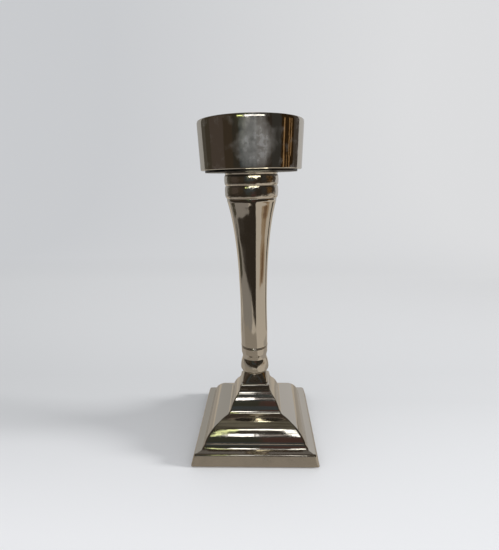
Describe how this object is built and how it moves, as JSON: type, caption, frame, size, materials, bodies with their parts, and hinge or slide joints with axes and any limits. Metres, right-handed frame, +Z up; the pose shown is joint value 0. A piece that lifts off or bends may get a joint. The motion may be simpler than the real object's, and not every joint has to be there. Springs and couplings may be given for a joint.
{
  "type": "pillar candle holder",
  "caption": "Polished nickel candle holder: square stepped base, knopped neck, waisted stem, beaded collar and a straight-walled cup for a pillar candle.",
  "frame": {"origin": "on the floor, under the middle of the square base", "axes": "+Z up along the stem; +X and +Y square to the sides of the base, -Y is the side turned to the camera"},
  "size_m": [0.11, 0.11, 0.282],
  "materials": {
    "polished_nickel": "polished",
    "dark_plate": "satin",
    "zinc_steel": "satin",
    "felt": "matte"
  },
  "bodies": {
    "root": {"base_casting": "polished_nickel", "neck_casting": "polished_nickel", "stem": "polished_nickel", "collar": "polished_nickel", "seat_plate": "dark_plate", "cup": "polished_nickel", "tie_rod": "zinc_steel", "cup_sleeve_nut": "polished_nickel", "fender_washer": "zinc_steel", "split_washer": "zinc_steel", "base_nut": "zinc_steel", "felt_pad_1": "felt", "felt_pad_2": "felt", "felt_pad_3": "felt", "felt_pad_4": "felt"}
  },
  "joints": []
}
